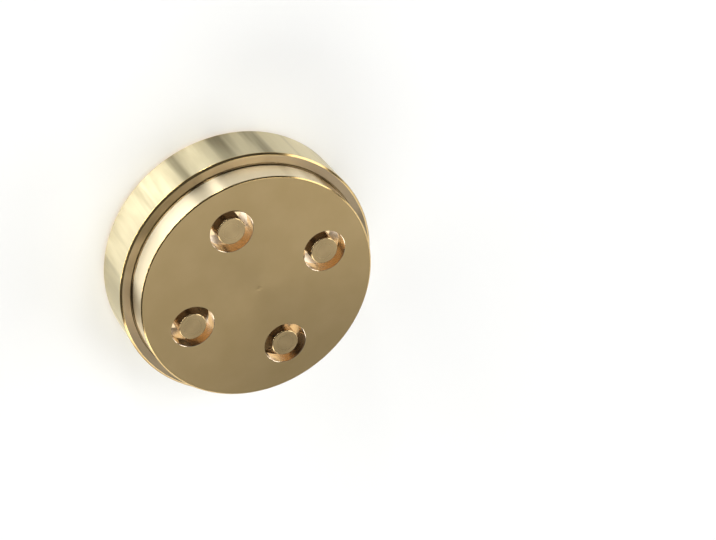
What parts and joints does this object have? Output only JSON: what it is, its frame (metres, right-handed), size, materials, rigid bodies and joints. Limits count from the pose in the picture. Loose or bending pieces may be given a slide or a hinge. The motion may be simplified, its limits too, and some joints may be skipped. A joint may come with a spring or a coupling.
{
  "type": "pasta extrusion die",
  "caption": "Stepped round brass die with ring-shaped outlets around flush cores, for pressing pasta dough into short smooth tubes.",
  "frame": {"origin": "centre of the back face, which lies on the surface below", "axes": "+Z along the die's axis, from the dough inlet at the back to the front face; +X through the centre of an outlet"},
  "size_m": [0.053, 0.053, 0.0164],
  "materials": {
    "body_brass": "turned, satin face and polished rim",
    "core_brass": "turned, satin"
  },
  "bodies": {
    "root": {"die_body": "body_brass", "core_insert_1": "core_brass", "core_insert_2": "core_brass", "core_insert_3": "core_brass", "core_insert_4": "core_brass"}
  },
  "joints": []
}
